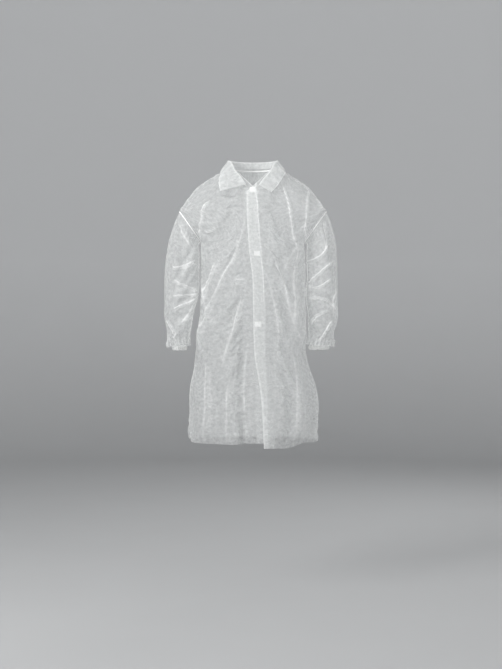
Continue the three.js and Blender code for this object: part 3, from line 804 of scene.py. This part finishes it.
for side, final, crease, marks in (("left", left_final, left_crease, left_marks),
                                   ("right", right_final, right_crease, right_marks)):
    piece = cloth_piece(side + "_front_cloth", final, crease, flip=side == "right", marks=marks)
    dress(piece, CLOTH, "nonwoven", side + "_front_upper", side + "_front_flap")
    bend_with_front(piece)

# %% [markdown]
# Behind each closing edge lies a facing, a strip 40 mm wide of the same cloth. It doubles the
# cloth there, which is why the closing edge looks denser. It is cut out of the front's own
# finished shape and moved just behind it.

# %% Facings
FACING_WIDE, FACING_GAP = 40, 0.9


def strip_of(final, run, wide, gap):
    """Each row of the front, read again at even lengths from its edge, and set back by gap."""
    back_of = normals(final)
    back_of *= np.sign(back_of[:, :, 1].mean())
    behind = final + back_of * gap
    keep = np.flatnonzero(run[:, -1] > wide + 12)
    at = np.linspace(0.6, wide, 17)
    strip = np.empty((len(keep), len(at), 3))
    for k, r in enumerate(keep):
        for axis in range(3):
            strip[k, :, axis] = np.interp(at, run[r], behind[r, :, axis])
    return strip


for side, final, run in (("left", left_final, left_run), ("right", right_final, right_run)):
    strip = strip_of(final, run, FACING_WIDE, FACING_GAP)
    inner = np.zeros(strip.shape[:2])
    inner[:, -1] = 0.8
    facing = cloth_piece(side + "_facing_cloth", strip, inner, flip=side == "left")
    dress(facing, CLOTH, "nonwoven", side + "_facing_top", side + "_facing")
    bend_with_front(facing)

# %% [markdown]
# Three pairs of small touch-and-close squares shut the front. The hook squares are sewn behind
# the left front and the loop squares on the right front. Each is a thin plate with rounded
# corners, a stitched border and a face of tiny hooks or loops.

# %% Closure squares
HALF_THICK = 0.55
LAYER = {"hook": 3.4, "loop": 5.1}      # how far behind the front face each kind lies


def closure_square(name, centre, back, hooks):
    """A plate, whose size is 1 - 0.045 |u|^8 |v|^8, so only its corners draw in. The border's
    stitches are a sunk line at 84% of the size, and the face is a product of two sines: small
    even bumps for hooks, and wandering ones for loops."""
    u, v = np.meshgrid(np.linspace(-1, 1, 57), np.linspace(1, -1, 49))
    round_off = 1 - 0.045 * (np.abs(u) ** 8 * np.abs(v) ** 8)
    x = centre[0] + u * round_off * SQUARE_WIDE / 2
    z = centre[1] + v * round_off * SQUARE_HIGH / 2
    rim = np.maximum(np.abs(u), np.abs(v))
    stitch = -0.25 * np.exp(-((rim - 0.84) / 0.035) ** 2) * (0.6 + 0.4 * np.sin(26 * (u + v)))
    if hooks:
        face = np.sin(u * 34) * np.sin(v * 30)
    else:
        face = np.sin(u * 21 + 3 * np.sin(v * 9)) * np.sin(v * 19)
    relief = stitch + 0.16 * face * smooth((0.78 - rim) / 0.06) - 0.5 * smooth((rim - 0.93) / 0.07)
    y0 = front_y(x, z) + back
    front = np.stack([x, y0 - HALF_THICK - relief, z], axis=2)
    rear = np.stack([x, y0 + HALF_THICK, z], axis=2)
    ring = np.concatenate([front, rear[:, ::-1]], axis=1)
    # the plate is one closed sleeve of rows, whose top and bottom rows are pinched shut
    ring[0] = (ring[0] + ring[0][::-1]) / 2
    ring[-1] = (ring[-1] + ring[-1][::-1]) / 2
    return cloth_piece(name, ring, closed=True)


for number, centre in enumerate(CLOSURES, start=1):
    for kind, side in (("hook", "left"), ("loop", "right")):
        name = f"{kind}_square_{number}"
        square = closure_square(name + "_tape", centre, LAYER[kind], kind == "hook")
        dress(square, TAPE, "closure_tape", name)
        if number == 1:
            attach(square, "coat_body")
        else:
            bend_with_front(square)

# %% [markdown]
# The sleeves are wide tubes set into the round armholes. They crumple at the elbow, where
# ridges meet at the inner bend, and gather into many small pleats above the elastic cuff.

# %% Pleats round the wrist
PLEATS, FINE_PLEATS = 21, 48
PLEAT_SEED = {"left": 1.3, "right": 2.6}


def pleats(angle, side):
    """Uneven pleats: a sine whose angle is itself pushed by two slow sines, and a finer one."""
    seed = PLEAT_SEED[side]
    wander = 0.9 * np.sin(2 * angle + seed) + 0.6 * np.sin(5 * angle + 2 * seed)
    return np.sin(PLEATS * angle + wander) + 0.35 * np.sin(FINE_PLEATS * angle + seed)


print(PLEATS, "pleats and", FINE_PLEATS, "fine ones")

# %% [markdown]
# A sleeve is built up in layers: the crumples, then its ridges, then the gathers and the puff
# above the cuff, and last a little fullness across, because the elastic holds the cloth's end
# and the rest of the tube bags over it.

# %% Sleeves
PUFF = 11
FULLER_OUTSIDE, FULLER_INSIDE = 3, 11


def tube_crumples(side, grid, free, out):
    """The simulated movement, less each ring's mean and less its mean swelling, so that the
    tube as a whole doesn't sag, shrink or swell."""
    move = crumple(side + "_sleeve", grid, free, closed=True)
    move = move - move.mean(axis=1, keepdims=True)
    return move - out * (move * out).sum(axis=2).mean(axis=1)[:, None, None]


def sleeve_ridges(side, grid, angle):
    """The ridges in front and behind, each fading out towards the other's half."""
    x, z = grid[:, :, 0], grid[:, :, 2]
    in_front = smooth(0.35 - np.sin(angle) * 1.1)
    front_lift, front_crease = ridges(x, z, SLEEVE_FOLDS[side])
    mirrored = [([[px * SIDES[side], pz] for px, pz in line], a, b, h)
                for line, a, b, h in SLEEVE_BACK_FOLDS]
    behind_lift, behind_crease = ridges(x, z, mirrored)
    return (front_lift * in_front + behind_lift * (1 - in_front),
            front_crease * in_front + behind_crease * (1 - in_front))


def make_sleeve(side, grid):
    """Shape = tube + crumples + outward x (ridges + pleats + puff), then widened. The puff is a
    bell 3 rings above the cuff: puff x exp of minus ((rings - 3) / 8)²."""
    rows, columns = grid.shape[:2]
    row = np.arange(rows)[:, None] * np.ones((1, columns))
    angle = np.linspace(0, TURN, columns, endpoint=False)[None, :]
    from_seam = np.abs(angle - np.pi)
    free = smooth(row / 10) * smooth((rows - 1 - row) / 14) * smooth(from_seam / 0.7)
    out = normals(grid, closed=True)
    middle = grid.mean(axis=1, keepdims=True)
    out *= np.sign((out * (grid - middle)).sum(axis=2).mean())
    lift, crease = sleeve_ridges(side, grid, angle)
    gather = smooth((row - (rows - 30)) / 24)
    gathered = pleats(angle, side) * np.ones((rows, 1))
    from_cuff = rows - 1 - row
    puff = PUFF * np.exp(-((from_cuff - 3) / 8) ** 2) * smooth(from_cuff / 3)
    uneven = 1 + 0.2 * np.sin(3 * angle + 1.2) + 0.12 * np.sin(7 * angle)
    lift = lift * free + 2.2 * gathered * gather + puff * uneven
    final = grid + tube_crumples(side, grid, free, out) + out * lift[:, :, None]
    final[:, :, 2] -= 0.35 * puff * uneven
    # fuller outside, and inside up to the coat's side, once the sleeve is below the armhole
    below = smooth((row - 6) / 24)
    outer = FULLER_OUTSIDE * (0.5 + 0.5 * np.cos(angle)) * below
    inner = FULLER_INSIDE * smooth(-np.cos(angle)) * below * smooth((grid[:, :, 2] + 640) / 60)
    final[:, :, 0] = final[:, :, 0] * EASE_ACROSS + SIDES[side] * (outer - inner)
    # the crests of the gathers above the cuff get a painted highlight in the crease mark
    return final, crease * free + 0.6 * gather * np.clip(gathered, 0, 1)


sleeve_final = {}
for side, grid in sleeve_grids.items():
    final, crease = make_sleeve(side, grid)
    sleeve_final[side] = final
    piece = cloth_piece(side + "_sleeve_cloth", final, crease, closed=True, flip=side == "left")
    dress(piece, CLOTH, "nonwoven", side + "_sleeve")
    bend_with_arm(piece)

# %% [markdown]
# The cuff is the sleeve's end, turned in over a band of elastic and pulled into a soft roll.
# Its section is an open C, outside, under and up inside, and its pleats carry on the sleeve's.

# %% Cuffs
CUFF_HIGH, CUFF_DEEP, CUFF_OVERLAP = 17, 8, 10


def cuff_grid(side):
    """Around the wrist: middle + (half width - inward + swell) x cos and sin. Around the C:
    inward is 0 outside and 8 mm inside, and down is a sine from the sleeve's end."""
    ring = sleeve_grids[side][-1]
    middle = ring.mean(axis=0)
    columns = 3 * len(ring)
    angle = np.linspace(0, TURN, columns, endpoint=False)
    reach = ring - middle
    wide, deep = np.abs(reach[:, 0]).max(), np.abs(reach[:, 1]).max()
    turn = np.linspace(0.12, 0.88, 25)[:, None] * TURN
    pleat = pleats(angle, side)[None, :]
    inward = CUFF_DEEP / 2 * (1 + np.cos(turn)) * np.ones_like(pleat)
    down = CUFF_OVERLAP - CUFF_HIGH / 2 * np.sin(turn) * np.ones_like(pleat)
    swell = 0.9 * pleat * (0.35 + 0.65 * np.sin(turn / 2) ** 2) + 1.2 * np.sin(5 * angle + 0.7)
    x = middle[0] * EASE_ACROSS + (wide - inward + swell) * np.cos(angle) * SIDES[side]
    y = middle[1] + (deep - inward + swell) * np.sin(angle)
    z = middle[2] - down + 0.9 * np.sin(7 * angle + 1) * np.ones_like(turn)
    # the crests of the cuff's pleats get a painted highlight in the crease mark
    return np.stack([x, y, z], axis=2), 0.7 * np.clip(pleat, 0, 1) * np.ones_like(turn)


for side in SIDES:
    grid, crease = cuff_grid(side)
    cuff = cloth_piece(side + "_cuff_cloth", grid, crease, closed=True, flip=side == "left")
    dress(cuff, CUFF_CLOTH, "nonwoven", side + "_cuff_casing")
    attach(cuff, side + "_arm")
    elastic = bpy.data.objects[side + "_cuff_elastic"]
    elastic.data.materials.clear()
    elastic.data.materials.append(ELASTIC)

# %% [markdown]
# The collar is one band round the neck. From the neck seam it stands up, rolls over at its
# fold line and falls as a leaf, whose two points lie on the chest. It is a loft: the seam,
# the fold and the leaf's edge are three curves round the neck, and the cloth joins them.

# %% Collar
LEFT_COLLAR = {"start": [18, -70], "tip": [66, -92], "edge": [98, -52]}
RIGHT_COLLAR = {"start": [22, -68], "tip": [118, -86], "edge": [124, -46]}


def on_front(x, z, proud, side):
    """A point so many mm proud of the front face; side is +1 or -1."""
    return [side * x, float(front_y(np.array(x, float), np.array(z, float))) - proud, z]


def collar_half(side, c):
    """The seam, fold and edge lines of one half, from the V's foot to the middle of the back."""
    s = SIDES[side]
    v = [c["start"], [34, -46], [50, -26]]
    seam = [on_front(x, z, 6, s) for x, z in v]
    seam += [[s * 68, -28, 8], [s * 73, -14, 11], [s * 77, 0, 13], [s * 66, 36, 14],
             [s * 36, 60, 14]]
    fold = [on_front(x + 3 + 5 * i, z + 4 + 6 * i, 8, s) for i, (x, z) in enumerate(v)]
    fold += [[s * 78, -38, 22], [s * 87, -20, 31], [s * 91, 0, 35], [s * 78, 40, 37],
             [s * 43, 66, 37]]
    tip, edge = c["tip"], c["edge"]
    between = 0.4 * tip[0] + 0.6 * edge[0]
    leaf = [on_front(*tip, 10, s), on_front(between, -70, 13, s), on_front(*edge, 14, s)]
    leaf += [[s * 116, -50, -18], [s * 118, -26, -14], [s * 119, 4, -10], [s * 104, 50, -10],
             [s * 56, 98, -22]]
    return np.array([seam, fold, leaf], float)


left_half, right_half = collar_half("left", LEFT_COLLAR), collar_half("right", RIGHT_COLLAR)
middle_back = np.array([[[0, 67, 14]], [[0, 74, 37]], [[0, 108, -30]]], float)
lines = np.concatenate([left_half, middle_back, right_half[:, ::-1]], axis=1)
AROUND, ACROSS = 221, 41
STAND = 0.3           # the stand's share of the collar's width; the rest is the leaf
seam_line, fold_line, leaf_line = (curve_through(line, AROUND) for line in lines)


def collar_grid():
    """Across: straight up the stand (seam to fold), then down the leaf, each bowed by half a
    sine of a few mm, with a rounded rise over the fold. Along: the curves round the neck."""
    t = np.linspace(0, 1, ACROSS)[:, None, None]
    stand = np.clip(t / STAND, 0, 1)
    leaf = np.clip((t - STAND) / (1 - STAND), 0, 1)
    out = fold_line - seam_line.mean(axis=0)
    out[:, 2] = 0
    out /= np.linalg.norm(out, axis=1, keepdims=True)
    base = seam_line[None] * (1 - stand) + fold_line[None] * stand
    base = base + (leaf_line - fold_line)[None] * leaf
    bow = 5 * np.sin(np.pi * leaf) - 1.5 * np.sin(np.pi * stand) * (leaf == 0)
    rise = 3.0 * np.exp(-((t - STAND) / 0.12) ** 2)
    grid = base + out[None] * bow
    grid[:, :, 2:] += rise
    return grid, t[:, :, 0]


collar_points, collar_t = collar_grid()
along = np.linspace(0, 1, AROUND)[None, :]
ripple = 1.8 * np.sin(TURN * 9 * along + 4 * np.sin(TURN * along)) + 1.1 * np.sin(TURN * 23 * along)
from_tips = smooth(np.minimum(along, 1 - along) / 0.05)
collar_normal = normals(collar_points)
collar_normal *= np.sign((collar_normal[-8:, :, :2] * collar_points[-8:, :, :2]).sum())
ripples = ripple * smooth((collar_t - 0.35) / 0.5) * from_tips
collar_points = collar_points + collar_normal * ripples[:, :, None]
# the fold and the leaf's edge are whiter, and the crests of the ripples carry a painted highlight
collar_mark = 0.9 * np.exp(-((collar_t - STAND) / 0.04) ** 2)
collar_mark = collar_mark + 0.9 * np.exp(-((collar_t - 1) / 0.03) ** 2)
collar_mark = collar_mark + 0.4 * np.clip(ripple / 2.5, 0, 1) * smooth((collar_t - 0.4) / 0.4)
collar = cloth_piece("collar_cloth", collar_points, collar_mark * np.ones_like(along))
dress(collar, COLLAR_CLOTH, "nonwoven", "collar")
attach(collar, "coat_body")

# %% [markdown]
# The seams are overlocked: a narrow rib of cloth edge wrapped in thread. Each is a flattened
# rod swept along its seam, whose thickness swells and narrows with the stitches.

# %% Seams
STITCH = 3.0


def rib(name, path, outward, wide, thick, closed=False):
    """Around the path: outward x thick x cos + sideways x wide x sin, and along it the
    thickness is 1 + 0.35 |sin(pi x length / stitch)|, as the thread loops over the edge."""
    length = np.concatenate([[0], np.cumsum(np.linalg.norm(np.diff(path, axis=0), axis=1))])
    count = max(40, int(length[-1]))      # a ring for each millimetre
    even = np.linspace(0, length[-1], count)
    p = np.stack([np.interp(even, length, path[:, k]) for k in range(3)], axis=1)
    o = np.stack([np.interp(even, length, outward[:, k]) for k in range(3)], axis=1)
    tangent = np.gradient(p, axis=0)
    tangent /= np.linalg.norm(tangent, axis=1, keepdims=True)
    o = o - (o * tangent).sum(axis=1, keepdims=True) * tangent
    o /= np.linalg.norm(o, axis=1, keepdims=True)
    sideways = np.cross(tangent, o)
    phi = np.linspace(0, TURN, 10, endpoint=False)[None, :, None]
    swell = (1 + 0.35 * np.abs(np.sin(np.pi * even / STITCH)))[:, None, None]
    from_end = np.minimum(np.arange(count), np.arange(count)[::-1])
    shut = np.ones(count) if closed else np.minimum(1, from_end / 3 + 0.02)
    r = swell * shut[:, None, None]
    section = o[:, None] * thick * np.cos(phi) + sideways[:, None] * wide * np.sin(phi)
    return cloth_piece(name, p[:, None] + r * section, closed=True)


def outward_of(path, centre):
    """The direction from a centre to each point of a path."""
    out = path - centre
    return out / np.linalg.norm(out, axis=1, keepdims=True)


def sew(piece, node_name):
    """Dresses a rib as thread."""
    return dress(piece, THREAD, "seam_thread", node_name)


# %% Side, shoulder, armhole and sleeve seams
for side, s in SIDES.items():
    edge = back_final[:, -1 if s > 0 else 0]
    low = edge[edge[:, 2] < PIT_Z - 4]
    flat_out = np.tile([float(s), 0, 0], (len(low), 1))
    seam = rib(side + "_side_seam_thread", low - (1.2 * s, 0, 0), flat_out, 1.6, 0.9)
    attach(sew(seam, side + "_side_seam"), "coat_body")
    top = edge[edge[:, 2] > TIP_Z + 1]
    up = np.tile([0.3 * s, 0, 1.0], (len(top), 1))
    seam = rib(side + "_shoulder_seam_thread", top, up, 1.8, 0.9)
    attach(sew(seam, side + "_shoulder_seam"), "coat_body")
    ring = sleeve_final[side][0]
    ring = np.vstack([ring, ring[:1]])
    outward = outward_of(ring, ring[:-1].mean(axis=0))
    seam = rib(side + "_armhole_seam_thread", ring, outward, 1.7, 1.0, closed=True)
    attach(sew(seam, side + "_armhole_seam"), "coat_body")
    # the sleeve's own seam runs inside the arm, a little to the front of its middle
    line = sleeve_final[side][1:-2, SLEEVE_COLUMNS // 2 + 6]
    outward = outward_of(line, sleeve_final[side][1:-2].mean(axis=1))
    seam = rib(side + "_sleeve_seam_thread", line, outward, 1.5, 0.8)
    bend_with_arm(sew(seam, side + "_sleeve_seam"))

# %% Neck seam
neck_half = [[24, -64], [38, -48], [54, -26]]
neck = [on_front(x, z - 3, -5, 1) for x, z in neck_half]
neck += [[66, -18, -2], [69, 0, 2], [58, 30, 3], [32, 48, 3]]
neck_path = curve_through(neck + [[0, 54, 3]] + [[-x, y, z] for x, y, z in neck[::-1]], 300)
outward = outward_of(neck_path, neck_path.mean(axis=0))
neck_seam = sew(rib("neck_seam_thread", neck_path, outward, 2.0, 1.0), "neck_seam")
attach(neck_seam, "coat_body")

# %% [markdown]
# The stage: a plain grey floor that curves up all round into a wall, like a shallow bowl, so
# that the coat has the same quiet ground from every side. Large soft lights stand inside it,
# near the coat, so that the thin cloth is lit more than the wall that shows through it.

# %% Stage
FLOOR_Z, BOWL_RADIUS, BEND, WALL = -1.55, 6.5, 1.6, 8.0      # metres
STAGE_SIDES = 96
bend_turn = np.linspace(0, np.pi / 2, 20)
stage_r = np.concatenate([[1e-4], BOWL_RADIUS - BEND + BEND * np.sin(bend_turn), [BOWL_RADIUS]])
stage_z = np.concatenate([[0.0], BEND - BEND * np.cos(bend_turn), [WALL]]) + FLOOR_Z
stage_turn = np.linspace(0, TURN, STAGE_SIDES, endpoint=False)
bowl = np.stack([stage_r[:, None] * np.cos(stage_turn), stage_r[:, None] * np.sin(stage_turn),
                 stage_z[:, None] * np.ones((1, STAGE_SIDES))], axis=2)
stage_mesh = bpy.data.meshes.new("backdrop")
bowl_faces = quads(len(stage_r), STAGE_SIDES, closed=True)[:, ::-1]
stage_mesh.from_pydata(bowl.reshape(-1, 3).tolist(), [], bowl_faces.tolist())
stage_mesh.polygons.foreach_set("use_smooth", [True] * len(bowl_faces))
backdrop = bpy.data.objects.new("backdrop", stage_mesh)
scene.collection.objects.link(backdrop)
print("stage", BOWL_RADIUS, "m in radius")

# %% Stage paper
paper, tree = new_material("backdrop_paper")
place = node(tree, "ShaderNodeTexCoord").outputs["Object"]
grain = noise(tree, place, 3.0)
height = node(tree, "ShaderNodeSeparateXYZ", {0: place}).outputs[2]
# the floor faces the lights, so its paper is darker than the wall's and looks as pale
up_wall = ramp(tree, height, FLOOR_Z, FLOOR_Z + BEND)
up_wall = maths(tree, "ADD", up_wall, maths(tree, "MULTIPLY", grain, 0.04), clamp=True)
paper_mix = node(tree, "ShaderNodeMix", {0: up_wall}, data_type="RGBA")
paper_mix.inputs[6].default_value = (0.36, 0.363, 0.366, 1)
paper_mix.inputs[7].default_value = (0.66, 0.665, 0.67, 1)
paper_skin = node(tree, "ShaderNodeBsdfPrincipled",
                  {"Base Color": paper_mix.outputs[2], "Roughness": 0.9})
node(tree, "ShaderNodeOutputMaterial", {"Surface": paper_skin.outputs[0]})
stage_mesh.materials.append(paper)

# %% [markdown]
# Three rectangles of light: a key from the upper left that rakes over the folds, a weaker fill
# from the right, and one behind that shines through the cloth. A pale world fills the shadows.

# %% Lights
def soft_light(name, place, aim, size, watts):
    """A rectangle that faces its aim. A light shines down its own -Z, so it is tilted by the
    angle between straight up and the way back from the aim, and then turned towards it."""
    data = bpy.data.lights.new(name, "AREA")
    data.shape = "RECTANGLE"
    data.size, data.size_y = size
    data.energy = watts
    lamp = bpy.data.objects.new(name, data)
    lamp.location = place
    away = np.array(place) - np.array(aim)
    yaw = np.arctan2(away[0], -away[1])
    tilt = np.arctan2(np.hypot(away[0], away[1]), away[2])
    lamp.rotation_euler = (tilt, 0, yaw)
    scene.collection.objects.link(lamp)


AIM = (0, 0, -0.5)
soft_light("key", (-2.1, -2.0, 1.0), AIM, (1.2, 1.8), 100)
soft_light("fill", (2.5, -2.4, -0.2), AIM, (2.0, 2.0), 30)
soft_light("back", (1.6, 2.4, 1.2), AIM, (1.4, 1.8), 30)
world = bpy.data.worlds.new("studio")
scene.world = world
world.use_nodes = True
sky = world.node_tree.nodes["Background"]
sky.inputs[0].default_value = (0.98, 0.99, 1.0, 1)
sky.inputs[1].default_value = 0.95
